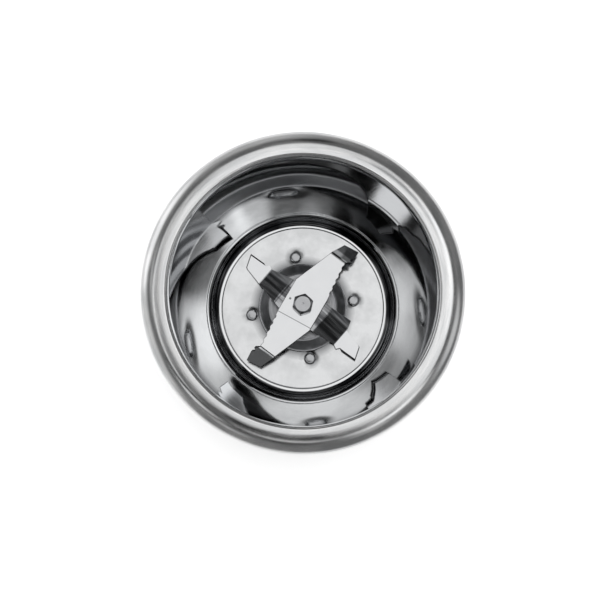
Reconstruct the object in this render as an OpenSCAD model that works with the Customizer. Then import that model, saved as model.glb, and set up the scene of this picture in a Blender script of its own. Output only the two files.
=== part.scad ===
// Small stainless steel jar of a mixer grinder: a deep drawn bowl with a rolled
// rim on a moulded base, and a blade spindle that turns in the middle of its floor.
// Millimetres, +Z up. The origin is on the ground under the middle of the jar.

/* [Bowl] */
// Radius of the flat part of the bowl's floor, inside
floor_r = 44.3; // [40:0.1:50]
// Height from the floor to the top of the straight mouth, inside
bowl_depth = 82.5; // [60:0.5:110]
// Radius of the corner between floor and wall, inside
corner_r = 4.4; // [3.4:0.1:7]
// Depth of the step pressed around the floor's edge
floor_step = 0.5; // [0.2:0.1:0.8]
// Lean of the wall at its foot, from where it flares out to the mouth
foot_lean = 11.3; // [9:0.1:12.5]
// Thickness of the steel sheet
sheet_t = 1.2; // [0.8:0.1:1.6]

/* [Rim] */
// Inner radius of the straight mouth that the lid's plug goes in
mouth_r = 66; // [62:0.1:72]
// Height of that straight mouth
mouth_h = 3; // [2:0.1:6]
// Radius of the bead where the mouth turns out to the flat
lip_bead_r = 1.7; // [1.5:0.1:3]
// Width of the flat ring on top of the rim
flat_w = 2.9; // [2:0.1:5]
// Radius of the rounded land outside the flat
land_r = 10.3; // [8:0.1:12]
// Angle by which the land falls away before the curl takes over
land_fall = 50; // [40:1:55]
// Outer radius of the rolled curl at the edge
curl_r = 2.6; // [2.2:0.1:3.2]
// Direction in which the end of the curl stands, seen from its middle
curl_end = 145; // [130:1:160]

/* [Boss in the floor] */
// Radius at which the boss starts to rise from the floor
boss_foot_r = 24; // [23.4:0.1:24.4]
// Radius of the flat top of the boss
boss_top_r = 17; // [16:0.1:18]
// Height of the boss above the floor
boss_h = 5.5; // [4.5:0.1:6.5]
// Radius of the hollow fillet at the foot of the boss
boss_fillet_r = 2.2; // [1:0.1:3]
// Radius of the rounded shoulder of the boss
boss_shoulder_r = 2.5; // [1.8:0.1:3]

/* [Rivets] */
// Number of rivets that hold the bowl to the base
rivet_count = 4; // [3:1:6]
// Radius of the circle that the rivets stand on
rivet_circle_r = 27.6; // [27.4:0.1:31]
// Direction of the first rivet
rivet_az = 8; // [0:0.5:20]
// Radius of a rivet's head
rivet_head_r = 3.1; // [2.6:0.1:3.6]
// Height of a rivet's head
rivet_head_h = 1.2; // [0.8:0.1:1.8]
// Radius of a rivet's shank
rivet_shank_r = 1.6; // [1.2:0.1:2]
// Radius of the washer under the base at each rivet
rivet_washer_r = 4; // [3.4:0.1:4.6]
// Thickness of that washer
rivet_washer_t = 0.8; // [0.5:0.1:1.2]

/* [Base] */
// Height of the underside of the base's web above the ground
web_z = 31; // [29:0.5:38]
// Thickness of the web
web_t = 4; // [3:0.1:5]
// Outer radius of the skirt
skirt_r = 57.5; // [56.5:0.1:62]
// Wall thickness of the skirt
skirt_t = 2.5; // [2:0.1:3.5]
// How far the foot band at the bottom of the skirt stands out
foot_out = 2; // [1:0.1:6]
// Height of the foot band
foot_h = 7; // [5:0.5:10]
// Height of the collar around the bowl above the bowl's floor
collar_h = 11; // [8:0.5:16]
// Outer radius of the collar's top edge
collar_top_r = 55.6; // [55.2:0.1:56.4]
// Height of the sloping part below the collar's top edge
collar_slope_h = 9; // [6:0.5:12]
// Number of grip flutes around the skirt
flute_count = 32; // [0:4:48]
// Radius of a flute's hollow
flute_r = 2.4; // [1.6:0.1:3]
// Depth of a flute
flute_depth = 0.8; // [0.4:0.1:1.2]
// Number of stiffening ribs under the web
rib_count = 8; // [4:4:12]
// Thickness of a rib
rib_t = 2; // [1.6:0.1:3]
// Depth of the ribs below the web
rib_h = 9; // [5:0.5:12]
// Inner radius of the ring under the web that the ribs run to
hub_ring_r = 19; // [18:0.1:22]
// Wall thickness of that ring
hub_ring_t = 2.4; // [1.6:0.1:3]
// Depth of the hub ring below the web
hub_ring_h = 6; // [4:0.5:9]
// Outer radius of the post that carries the boss
post_r = 14; // [13:0.1:14.6]
// Number of locking lugs on the foot band
lug_count = 4; // [3:1:6]
// Angle that a locking lug spans
lug_span = 16; // [10:1:24]
// How far a locking lug stands out
lug_out = 3; // [2:0.1:4]
// Height of a locking lug
lug_h = 5; // [3:0.5:7]

/* [Seals between bowl and base] */
// How far the flat gasket under the bowl's floor stays inside the floor's edge
gasket_edge = 2.3; // [1.5:0.1:4]
// Width of that gasket
gasket_w = 6; // [5:0.1:7]
// Thickness of that gasket
gasket_t = 1.5; // [1:0.1:2]

/* [Bearing housing] */
// Radius of the housing's flange on the boss
flange_r = 13; // [12.5:0.1:14]
// Thickness of the flange
flange_t = 2; // [1.6:0.1:3]
// Thickness of the sealing ring under the flange
flange_gasket_t = 0.8; // [0.5:0.1:1.5]
// Outer radius of the housing's body
housing_r = 10; // [9.5:0.1:10.5]
// Depth of the pocket for the shaft seal
seal_pocket_h = 5; // [4:0.1:6]
// Radius of the pocket for the shaft seal
seal_pocket_r = 8; // [7.8:0.1:8.4]
// Outer radius of a bearing bush
bush_r = 6.5; // [6:0.1:7]
// Length of the upper bush
upper_bush_h = 8; // [6:0.5:10]
// Length of the lower bush
lower_bush_h = 8; // [6:0.5:10]
// Length of the oil felt between the bushes
felt_h = 4; // [3:0.5:6]
// Width across the flats of the nut on the housing
housing_nut_af = 27; // [26:0.5:29]
// Height of that nut
housing_nut_h = 5; // [4:0.1:6]
// Outer radius of the washer under that nut
nut_washer_r = 16; // [15.6:0.1:17]
// Thickness of that washer
nut_washer_t = 1.2; // [0.8:0.1:1.6]

/* [Spindle] */
// Radius of the spindle in its bushes
spindle_r = 4; // [3.8:0.05:4.2]
// Radius of the collar that carries the blades
collar_r = 7.5; // [6.8:0.1:9]
// Thickness of the collar
collar_t = 1.2; // [1:0.1:2]
// Width across the flats of the square that drives the blades
drive_square = 7; // [6.4:0.1:7.4]
// Outer radius of the thrust washer under the collar
thrust_top_r = 7.2; // [6.5:0.1:9]
// Thickness of that thrust washer
thrust_top_t = 0.8; // [0.5:0.1:1.2]
// Outer radius of the thrust washer under the lower bush
thrust_low_r = 7; // [6.5:0.1:9]
// Thickness of that thrust washer
thrust_low_t = 0.8; // [0.5:0.1:1.2]
// Thickness of the retaining clip
clip_t = 1; // [0.8:0.1:1.2]
// Outer radius of the retaining clip
clip_r = 6.6; // [6:0.1:8]
// Depth of the groove for the clip
clip_groove = 0.6; // [0.4:0.1:0.8]

/* [Blades] */
// Thickness of each blade
blade_t = 2; // [1.5:0.1:2.5]
// Thickness of the spacer between the blades
spacer_t = 0.8; // [0.5:0.1:2]
// Outer radius of the spacer
spacer_r = 8.5; // [7.5:0.1:10]
// Radius of a bend in a blade, at its middle surface
bend_r = 2.2; // [1.8:0.1:3]
// Direction of the upper blade's long axis
upper_az = 53; // [0:1:180]
// Distance from the axis to the crease where the upper blade's wings start
upper_crease = 8.8; // [6:0.2:12]
// Angle by which those wings rise
upper_lift = 1.5; // [0.5:0.1:3]
// Distance from the axis to the bend of the upper blade's tips
upper_bend = 31.2; // [28:0.2:33]
// Distance from the axis to the end of the upper blade's tips
upper_reach = 40.6; // [38:0.2:42]
// Drop of the upper blade's tips below its wings
upper_drop = 7; // [4:0.5:8]
// Direction of the lower blade's long axis
lower_az = 139; // [0:1:180]
// Distance from the axis to the bend where the lower blade's arms start down
lower_hub = 12.4; // [11:0.2:14]
// Distance from the axis to the bend of the lower blade's tips
lower_bend = 25.7; // [24:0.2:28]
// Distance from the axis to the end of the lower blade's tips
lower_reach = 40.1; // [38:0.2:41]
// Height of the lower blade's tips above the bowl's floor, underneath
tip_clearance = 2; // [1.5:0.1:4]
// Width across the flats of the bolt that holds the blades
bolt_af = 10; // [9:0.5:13]
// Direction of one corner of the bolt's head
bolt_az = 17; // [0:1:60]
// Height of the bolt's head
bolt_head_h = 5; // [4:0.1:7]
// Radius of the bolt's shank
bolt_r = 2.4; // [2:0.1:2.6]
// Length of the bolt's shank in the spindle
bolt_depth = 14; // [10:0.5:18]

/* [Coupler] */
// Radius of the coupler's core
coupler_core_r = 11; // [10.5:0.1:13]
// Number of driving lobes
lobe_count = 6; // [4:1:8]
// Radius of a driving lobe
lobe_r = 3; // [2.4:0.1:3.4]
// Height of the lobed part of the coupler
lobe_h = 9; // [7:0.5:10]
// Radius of the coupler's plate above the lobes
coupler_plate_r = 16; // [15:0.1:18]
// Thickness of that plate
coupler_plate_t = 2.5; // [2:0.1:3]
// Width across the flats of the brass insert in the coupler
insert_af = 14; // [13:0.5:15]

/* [Fits] */
// Radial clearance of the spindle in its bushes
bush_clearance = 0.05; // [0.02:0.01:0.08]
// Gap between the turning pieces and the fixed ones
running_gap = 0.4; // [0.3:0.05:0.6]
// Gap between the bowl and the moulded base around it
seat_gap = 0.3; // [0.2:0.05:0.4]
// Radial gap around pieces that are pushed or screwed together
fit_gap = 0.04; // [0.02:0.01:0.08]
// Radial gap of a bolt, rivet or housing in the hole that it passes
hole_gap = 0.2; // [0.1:0.05:0.3]

/* [Hidden] */
$fn = 96;
far = 200;
tuck = 0.02;

// Levels, from the ground up
web_top = web_z + web_t;
floor_under = web_top + seat_gap;
floor_z = floor_under + sheet_t;
lip_z = floor_z + bowl_depth;
boss_top = floor_z + boss_h;
gasket_out_r = floor_r - gasket_edge;
gasket_in_r = gasket_out_r - gasket_w;
flange_z = boss_top + flange_gasket_t;
housing_top = flange_z + flange_t;
seal_z = housing_top - seal_pocket_h;
felt_z = seal_z - upper_bush_h - felt_h;
housing_end = felt_z - lower_bush_h;
thrust_z = housing_top + running_gap;
collar_z = thrust_z + thrust_top_t;
lower_top = collar_z + collar_t + blade_t;
upper_under = lower_top + spacer_t;
upper_top = upper_under + blade_t;
thrust_low_z = housing_end - running_gap - thrust_low_t;
clip_z = thrust_low_z - clip_t;
coupler_top = clip_z - running_gap;
coupler_end = coupler_top - coupler_plate_t - lobe_h;

// The wall leaves the corner's circle and flares evenly up to the mouth
corner_c = [floor_r, floor_z - floor_step + corner_r];
wall_foot = corner_c + corner_r * [cos(foot_lean), -sin(foot_lean)];
wall_h = lip_z - mouth_h - wall_foot.y;
wall_lead = wall_h * tan(foot_lean);
wall_flare = mouth_r - wall_foot.x - wall_lead;
wall_steps = 5;

// The land falls away from the flat, and the curl goes on where it ends
rim_top = lip_z + lip_bead_r;
lip_c = [mouth_r + lip_bead_r, lip_z];
land_c = [lip_c.x + flat_w, rim_top - land_r];
land_end = 90 - land_fall;
curl_c = land_c + (land_r - curl_r) * [cos(land_end), sin(land_end)];

// The boss's slope touches the circles of its foot and of its shoulder
foot_c = [boss_foot_r, floor_z + boss_fillet_r];
shoulder_c = [boss_top_r, boss_top - boss_shoulder_r];
slope_run = foot_c - shoulder_c;
slope_a = acos((boss_fillet_r + boss_shoulder_r) / norm(slope_run))
    + atan2(slope_run.y, slope_run.x);
slope_n = [cos(slope_a), sin(slope_a)];

foot_r = skirt_r + foot_out;
housing_hole_r = housing_r + hole_gap;
rib_az = rivet_az + 180 / rib_count;
flute_h = floor_z + collar_h - collar_slope_h - foot_h - 6;

function dir(a) = [cos(a), sin(a)];

// A point of the wall's inner face, grown by g, at a share of its height
function wall_at(share, g) =
    let (lean = atan((wall_lead + 2 * wall_flare * share) / wall_h))
    [wall_foot.x + wall_lead * share + wall_flare * share * share,
        wall_foot.y + wall_h * share] + g * [cos(lean), -sin(lean)];
mouth_lean = atan((wall_lead + 2 * wall_flare) / wall_h);

// A ring cut to less than half a turn, between two directions. It is a hair
// thinner than the sheet that goes on from its ends, and runs into it a little
module arc_band(c, r, t, from, to) {
    lap = to > from ? 6 : -6;
    mid = (from + to) / 2;
    intersection() {
        difference() {
            translate(c) circle(r - tuck);
            translate(c) circle(r - t + tuck);
        }
        polygon([
            c, c + far * dir(from - lap), c + far * dir(mid), c + far * dir(to + lap)
        ]);
    }
}

// The inside of the bowl in section, grown by g on every side but the top
module bowl_space(g, over) {
    step_z = floor_z - floor_step;
    step_r = floor_r - floor_step;
    intersection() {
        translate(corner_c) circle(corner_r + g);
        translate([floor_r - floor_step / 2, -far]) square([far, 2 * far]);
    }
    polygon(concat(
        [[0, floor_z - g], [step_r - floor_step, floor_z - g], [step_r, step_z - g],
            [floor_r, step_z - g]],
        [for (i = [0 : wall_steps - 1]) wall_at(i / wall_steps, g)],
        [[mouth_r + g, lip_z - mouth_h - g * tan(mouth_lean / 2)],
            [mouth_r + g, lip_z + over], [0, lip_z + over]]
    ));
}

// The sheet of the rim: bead, flat ring, rounded land and rolled curl
module rim_section() {
    arc_band(lip_c, lip_bead_r, sheet_t, 90, 180);
    translate([lip_c.x - 0.1, rim_top - sheet_t]) square([flat_w + 0.2, sheet_t]);
    arc_band(land_c, land_r, sheet_t, 90, land_end);
    difference() {
        translate(curl_c) circle(curl_r);
        translate(curl_c) circle(curl_r - sheet_t);
        polygon([
            curl_c, curl_c + curl_r * 2 * dir(land_end),
            curl_c + curl_r * 2 * dir((land_end + curl_end) / 2),
            curl_c + curl_r * 2 * dir(curl_end)
        ]);
    }
}

// The boss pressed up in the floor
module boss_section() {
    foot_t = foot_c - boss_fillet_r * slope_n;
    shoulder_t = shoulder_c + boss_shoulder_r * slope_n;
    arc_band(foot_c, boss_fillet_r + sheet_t, sheet_t, slope_a + 180, 270);
    arc_band(shoulder_c, boss_shoulder_r, sheet_t, slope_a, 90);
    polygon([
        foot_t, shoulder_t, shoulder_t - sheet_t * slope_n, foot_t - sheet_t * slope_n
    ]);
    translate([housing_hole_r, boss_top - sheet_t])
        square([boss_top_r - housing_hole_r, sheet_t]);
}

module bowl_section() {
    difference() {
        bowl_space(sheet_t, 0);
        bowl_space(0, 2);
        square([boss_foot_r, floor_z + 1]);
    }
    rim_section();
    boss_section();
}

module at_rivets() {
    for (i = [0 : rivet_count - 1])
        rotate(rivet_az + i * 360 / rivet_count)
            translate([rivet_circle_r, 0, 0]) children();
}

module tube(outer, inner, h) {
    difference() {
        cylinder(r = outer, h = h);
        translate([0, 0, -1]) cylinder(r = inner, h = h + 2);
    }
}

// A cylinder with its upper edge bevelled by b
module bevel_disc(r, h, b) {
    cylinder(r = r, h = h - b);
    translate([0, 0, h - b]) cylinder(r1 = r, r2 = r - b, h = b);
}

module hex_prism(af, h) {
    cylinder(r = af / sqrt(3), h = h, $fn = 6);
}

// A hexagon whose corners are turned down at the top, as on a bolt or nut
module hex_head(af, h) {
    intersection() {
        hex_prism(af, h);
        union() {
            cylinder(r = af, h = h - af * 0.18);
            translate([0, 0, h - af * 0.12 - af * 0.35])
                cylinder(r1 = af * 0.92, r2 = af * 0.4, h = af * 0.47);
        }
    }
}

module jar_body() {
    color("gainsboro") difference() {
        rotate_extrude() bowl_section();
        at_rivets() translate([0, 0, floor_under - 1])
            cylinder(r = rivet_shank_r + hole_gap, h = sheet_t + 2);
    }
}

// Section of the moulded base: foot band, skirt, collar, web and post
module base_section() {
    top = floor_z + collar_h;
    skirt_in = skirt_r - skirt_t;
    edge = 0.6;
    difference() {
        polygon([
            [0, 0], [foot_r - edge, 0], [foot_r, edge],
            [foot_r, foot_h - edge], [foot_r - edge, foot_h], [skirt_r, foot_h + 2],
            [skirt_r, top - collar_slope_h], [collar_top_r, top - edge],
            [collar_top_r - edge, top], [0, top]
        ]);
        polygon([
            [0, -1], [foot_r - skirt_t, -1], [foot_r - skirt_t, foot_h - 2],
            [skirt_in, foot_h], [skirt_in, web_z], [0, web_z]
        ]);
        bowl_space(sheet_t + seat_gap, 0);
        translate([gasket_in_r - seat_gap, floor_under - gasket_t])
            square([gasket_out_r - gasket_in_r + 2 * seat_gap, gasket_t]);
    }
    translate([hub_ring_r, web_z - hub_ring_h])
        square([hub_ring_t, hub_ring_h + 1]);
    translate([0, web_z + 1])
        square([post_r, boss_top - sheet_t - web_z - 1]);
}

module base_housing() {
    color("dimgray") difference() {
        union() {
            rotate_extrude() base_section();
            for (i = [0 : rib_count - 1])
                rotate(rib_az + i * 360 / rib_count)
                    translate([hub_ring_r + hub_ring_t / 2, -rib_t / 2, web_z - rib_h])
                        cube([skirt_r - skirt_t / 2 - hub_ring_r - hub_ring_t / 2, rib_t, rib_h + 1]);
            for (i = [0 : lug_count - 1])
                rotate(rib_az + i * 360 / lug_count - lug_span / 2)
                    rotate_extrude(angle = lug_span)
                        translate([foot_r - skirt_t / 2, 0])
                            square([lug_out + skirt_t / 2, lug_h]);
        }
        translate([0, 0, web_z - 1])
            cylinder(r = housing_hole_r, h = boss_top - web_z);
        at_rivets() translate([0, 0, web_z - 1])
            cylinder(r = rivet_shank_r + hole_gap, h = web_t + 2);
        if (flute_count > 0) for (i = [0 : flute_count - 1])
            rotate(rib_az + i * 360 / flute_count)
                translate([skirt_r + flute_r - flute_depth, 0, foot_h + 4])
                    cylinder(r = flute_r, h = flute_h, $fn = 32);
    }
}

module base_gasket() {
    color("black") translate([0, 0, floor_under - gasket_t])
        tube(gasket_out_r, gasket_in_r, gasket_t);
}

// Flat topped heads in the bowl, shanks through the web, and tails upset below
module rivets() {
    tail_z = web_z - rivet_washer_t;
    color("silver") at_rivets() {
        translate([0, 0, floor_z])
            bevel_disc(rivet_head_r, rivet_head_h, rivet_head_h * 0.6);
        translate([0, 0, tail_z]) cylinder(r = rivet_shank_r, h = floor_z - tail_z);
        translate([0, 0, tail_z - rivet_shank_r])
            cylinder(r1 = rivet_shank_r, r2 = rivet_shank_r * 1.7, h = rivet_shank_r);
    }
}

module rivet_washers() {
    color("silver") at_rivets() translate([0, 0, web_z - rivet_washer_t])
        tube(rivet_washer_r, rivet_shank_r + hole_gap, rivet_washer_t);
}

module bearing_housing() {
    color("burlywood") difference() {
        union() {
            translate([0, 0, flange_z]) bevel_disc(flange_r, flange_t, 0.6);
            translate([0, 0, housing_end]) cylinder(r = housing_r, h = housing_top - housing_end);
        }
        translate([0, 0, housing_end - 1])
            cylinder(r = bush_r + fit_gap, h = housing_top - housing_end + 2);
        translate([0, 0, seal_z]) cylinder(r = seal_pocket_r, h = seal_pocket_h + 1);
    }
}

module flange_gasket() {
    color("black") translate([0, 0, boss_top])
        tube(flange_r, housing_hole_r, flange_gasket_t);
}

module housing_nut() {
    color("goldenrod") translate([0, 0, web_z - nut_washer_t - housing_nut_h]) difference() {
        hex_prism(housing_nut_af, housing_nut_h);
        translate([0, 0, -1]) cylinder(r = housing_r + fit_gap, h = housing_nut_h + 2);
    }
}

module housing_nut_washer() {
    color("silver") translate([0, 0, web_z - nut_washer_t])
        tube(nut_washer_r, housing_hole_r, nut_washer_t);
}

module bush(z, h) {
    color("peru") translate([0, 0, z]) tube(bush_r, spindle_r + bush_clearance, h);
}

module upper_bush() {
    bush(seal_z - upper_bush_h, upper_bush_h);
}

module lower_bush() {
    bush(housing_end, lower_bush_h);
}

module oil_felt() {
    color("khaki") translate([0, 0, felt_z])
        tube(bush_r, spindle_r + bush_clearance * 2, felt_h);
}

// A rubber ring with a groove in its top and a lip that runs on the spindle
module shaft_seal() {
    outer = seal_pocket_r - fit_gap;
    inner = spindle_r + bush_clearance;
    groove = (outer - inner) / 2;
    color("black") translate([0, 0, seal_z]) difference() {
        tube(outer, inner, seal_pocket_h - running_gap);
        translate([0, 0, seal_pocket_h / 2])
            tube(inner + groove * 1.5, inner + groove * 0.6, seal_pocket_h);
    }
}

// The shaft with the blades' collar and square, the clip's groove and a foot
module spindle() {
    square_h = upper_top - collar_z - collar_t - fit_gap * 5;
    color("lightgray") difference() {
        union() {
            translate([0, 0, coupler_end]) cylinder(r = spindle_r, h = collar_z - coupler_end + 0.1);
            translate([0, 0, collar_z]) cylinder(r = collar_r, h = collar_t);
            translate([0, 0, collar_z + collar_t + square_h / 2 - 0.1]) rotate(upper_az)
                cube([drive_square, drive_square, square_h + 0.2], center = true);
        }
        translate([0, 0, clip_z]) difference() {
            cylinder(r = spindle_r + 1, h = clip_t);
            cylinder(r = spindle_r - clip_groove, h = clip_t);
        }
        translate([0, 0, upper_top - bolt_depth - 1])
            cylinder(r = bolt_r + fit_gap, h = bolt_depth + 2);
    }
}

module upper_thrust_washer() {
    color("ivory") translate([0, 0, thrust_z])
        tube(thrust_top_r, spindle_r + hole_gap, thrust_top_t);
}

module lower_thrust_washer() {
    color("ivory") translate([0, 0, thrust_low_z])
        tube(thrust_low_r, spindle_r + hole_gap, thrust_low_t);
}

// An open ring that snaps into the spindle's groove
module retaining_clip() {
    inner = spindle_r - clip_groove + fit_gap;
    color("dimgray") translate([0, 0, clip_z]) difference() {
        tube(clip_r, inner, clip_t);
        translate([0, -inner * 0.8, -1]) cube([clip_r + 1, inner * 1.6, clip_t + 2]);
    }
}

// A strip bent in its own plane: each leg has a length and the turn after it
module bent_strip(legs, i = 0) {
    len_i = legs[i][0];
    turn = legs[i][1];
    side = turn > 0 ? 1 : -1;
    translate([0, -blade_t / 2]) square([len_i, blade_t]);
    if (i < len(legs) - 1) translate([len_i, 0]) {
        arc_band([0, side * bend_r], bend_r + blade_t / 2, blade_t,
            -side * 90, -side * 90 + turn);
        translate([bend_r * sin(abs(turn)), side * bend_r * (1 - cos(turn))])
            rotate(turn) bent_strip(legs, i + 1);
    }
}

// How much of a leg a bend takes up
function take(turn) = bend_r * tan(abs(turn) / 2);

// A blade is its outline seen from above, cut out of its bent strip
module blade(level, legs) {
    intersection() {
        linear_extrude(height = far) children();
        translate([0, far / 2, level]) rotate([90, 0, 0]) linear_extrude(height = far)
            for (side = [0, 1]) mirror([side, 0]) bent_strip(legs);
    }
}

module drive_hole() {
    square(drive_square + 2 * fit_gap, center = true);
}

// The lower blade's outline: each half has a hub, tapered arm, tooth, notch and tip,
// and one arm has a shoulder at its lower bend
module lower_outline() {
    half = [
        [lower_hub, -7.2], [lower_bend, -4.3], [lower_bend + 2.4, -5.4],
        [lower_bend + 3.8, -3.5], [lower_bend + 5.6, -4.3], [lower_reach, -3.5],
        [lower_reach - 3, 3.8], [lower_bend - 0.6, 6.1], [9.2, 9.3]
    ];
    polygon(concat(half, -half));
    polygon([[-lower_hub, 0], [-lower_bend - 0.2, -5], [1.8 - lower_bend, -11.2], [-6, -8]]);
}

module lower_blade() {
    tip_drop = lower_top - floor_z - tip_clearance - blade_t;
    turn = atan(tip_drop / (lower_bend - lower_hub));
    slope_l = norm([tip_drop, lower_bend - lower_hub]);
    color("silver") rotate(lower_az) blade(lower_top - blade_t / 2, [
        [lower_hub - take(turn), -turn],
        [slope_l - 2 * take(turn), turn],
        [lower_reach - lower_bend + 1, 0]
    ]) difference() {
        lower_outline();
        rotate(upper_az - lower_az) drive_hole();
    }
}

module blade_spacer() {
    color("silver") translate([0, 0, lower_top])
        tube(spacer_r, drive_square / sqrt(2) + hole_gap, spacer_t);
}

// Half of the upper blade's outline: a broad wing with a toothed leading edge
module upper_half() {
    lead_a = [9.6, -8.9];
    lead_b = [upper_bend, -4.7];
    lead = lead_b - lead_a;
    difference() {
        polygon([
            [-upper_crease, -11.1], [0, -11.1], lead_a, lead_b, [upper_bend + 1.7, -7],
            [upper_bend + 2.8, -5.5], [upper_reach - 5.2, -7.2], [upper_reach, -6.5],
            [upper_reach - 1.5, 1.8], [upper_bend, 4.7], [8.8, 11.1],
            [-upper_crease, 0]
        ]);
        for (i = [0 : 4]) translate(lead_a + lead * (0.18 + 0.17 * i) + [0.6, -1.3])
            circle(1.9);
    }
}

module upper_blade() {
    wing = (upper_bend - upper_crease) / cos(upper_lift);
    turn = upper_lift + atan(upper_drop / (upper_reach - upper_bend));
    tip_l = norm([upper_drop, upper_reach - upper_bend]);
    color("whitesmoke") rotate(upper_az) blade(upper_top - blade_t / 2, [
        [upper_crease - take(upper_lift), upper_lift],
        [wing - take(upper_lift) - take(turn), -turn],
        [tip_l + 2, 0]
    ]) difference() {
        union() {
            upper_half();
            rotate(180) upper_half();
        }
        drive_hole();
    }
}

module blade_bolt() {
    color("darkgray") {
        translate([0, 0, upper_top]) rotate(bolt_az) hex_head(bolt_af, bolt_head_h);
        translate([0, 0, upper_top - bolt_depth]) cylinder(r = bolt_r, h = bolt_depth);
    }
}

module coupler() {
    color("black") difference() {
        union() {
            translate([0, 0, coupler_end + lobe_h])
                cylinder(r = coupler_plate_r, h = coupler_plate_t);
            translate([0, 0, coupler_end]) linear_extrude(height = lobe_h + 1) {
                circle(coupler_core_r);
                for (i = [0 : lobe_count - 1]) rotate((i + 0.5) * 360 / lobe_count)
                    translate([coupler_core_r, 0]) circle(lobe_r);
            }
        }
        translate([0, 0, coupler_end - 1])
            hex_prism(insert_af + 2 * fit_gap, coupler_plate_t + lobe_h + 2);
    }
}

module coupler_insert() {
    color("goldenrod") translate([0, 0, coupler_end]) difference() {
        hex_prism(insert_af, coupler_plate_t + lobe_h);
        translate([0, 0, -1])
            cylinder(r = spindle_r + fit_gap, h = coupler_plate_t + lobe_h + 2);
    }
}

jar_body();
base_housing();
base_gasket();
rivets();
rivet_washers();
bearing_housing();
flange_gasket();
housing_nut();
housing_nut_washer();
upper_bush();
oil_felt();
lower_bush();
shaft_seal();
spindle();
upper_thrust_washer();
lower_thrust_washer();
retaining_clip();
lower_blade();
blade_spacer();
upper_blade();
blade_bolt();
coupler();
coupler_insert();
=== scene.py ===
"""Small stainless steel mixer grinder jar, seen from above with its blades in the bowl.

Metres, +Z up, origin on the ground under the middle of the jar. Sizes are written in
millimetres and multiplied by MM where they meet Blender.
"""
from math import acos, asin, atan, atan2, cos, degrees, hypot, pi, radians, sin, tan

import bpy
from mathutils import Matrix, Vector


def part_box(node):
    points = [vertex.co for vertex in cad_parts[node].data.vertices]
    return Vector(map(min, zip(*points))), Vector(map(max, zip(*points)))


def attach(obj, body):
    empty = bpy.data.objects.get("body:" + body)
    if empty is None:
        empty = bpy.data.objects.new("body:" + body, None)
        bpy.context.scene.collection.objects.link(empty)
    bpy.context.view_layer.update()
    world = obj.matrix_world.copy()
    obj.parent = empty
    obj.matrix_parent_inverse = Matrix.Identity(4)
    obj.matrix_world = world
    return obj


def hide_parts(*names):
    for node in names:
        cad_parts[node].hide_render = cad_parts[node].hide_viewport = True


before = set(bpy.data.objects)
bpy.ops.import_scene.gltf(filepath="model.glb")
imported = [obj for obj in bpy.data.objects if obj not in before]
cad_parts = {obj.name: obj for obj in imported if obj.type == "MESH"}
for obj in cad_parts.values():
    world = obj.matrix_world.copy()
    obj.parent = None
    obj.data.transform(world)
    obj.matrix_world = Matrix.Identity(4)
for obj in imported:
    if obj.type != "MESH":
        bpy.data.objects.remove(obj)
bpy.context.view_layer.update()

MM = 0.001
FLAT_SHADE = 30  # degrees: edges sharper than this stay sharp

# Levels and radii of the bowl, in millimetres
SHEET = 1.2
FLOOR_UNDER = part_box("base_gasket")[1][2] / MM
FLOOR_Z = FLOOR_UNDER + SHEET
FLOOR_R = 44.3
CORNER_R = 4.4
FLOOR_STEP = 0.5
FOOT_LEAN = 11.3
LIP_Z = FLOOR_Z + 82.5
MOUTH_R = 66.0
MOUTH_H = 3.0
BEAD_R = 1.7
FLAT_W = 2.9
LAND_R = 10.3
LAND_FALL = 50
RIM_CROWN = 22.0  # the flat on the rim is crowned a little where it meets the land
RIM_CROWN_TURN = radians(7.8)
CURL_R = 2.6
CURL_END = 145
BOSS_FOOT_R = 24.0
BOSS_TOP_R = 17.0
BOSS_H = 5.5
BOSS_FILLET = 2.2
BOSS_SHOULDER = 2.5
HOUSING_HOLE_R = 10.2

RIVETS = 4
RIVET_CIRCLE = 27.6
RIVET_AZ = 8
RIVET_HEAD_R = 3.1
RIVET_HEAD_H = 1.2
RIVET_SHANK_R = 1.6
WEB_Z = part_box("rivet_washers")[1][2] / MM
RIVET_WASHER_T = 0.8

# Blades and bolt, in millimetres
BLADE_T = 2.0
BEND_R = 2.2
UPPER_AZ = 53
UPPER_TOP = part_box("blade_spacer")[1][2] / MM + BLADE_T
LOWER_AZ = 139
LOWER_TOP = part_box("blade_spacer")[0][2] / MM
BOLT_AF = 10.0
BOLT_AZ = 17
BOLT_H = 5.0
BOLT_R = 2.4
BOLT_DEPTH = 14.0


# ---------------------------------------------------------------- helpers: objects

def select_only(obj):
    if bpy.context.object and bpy.context.object.mode != "OBJECT":
        bpy.ops.object.mode_set(mode="OBJECT")
    bpy.ops.object.select_all(action="DESELECT")
    obj.select_set(True)
    bpy.context.view_layer.objects.active = obj


def deselect():
    if bpy.context.object and bpy.context.object.mode != "OBJECT":
        bpy.ops.object.mode_set(mode="OBJECT")
    bpy.ops.object.select_all(action="DESELECT")


def edit(obj):
    select_only(obj)
    bpy.ops.object.mode_set(mode="EDIT")
    bpy.ops.mesh.select_all(action="SELECT")


def apply_modifier(obj, kind, **settings):
    select_only(obj)
    modifier = obj.modifiers.new(kind.title(), kind)
    for key, value in settings.items():
        setattr(modifier, key, value)
    bpy.ops.object.modifier_apply(modifier=modifier.name)


def smooth(obj, angle=FLAT_SHADE):
    select_only(obj)
    bpy.ops.object.shade_smooth_by_angle(angle=radians(angle))


def true_flats(obj):
    """Let the large flat faces rule the shading, so that small bevels don't bend it."""
    smooth(obj)
    apply_modifier(obj, "WEIGHTED_NORMAL", keep_sharp=True, weight=90)


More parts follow.
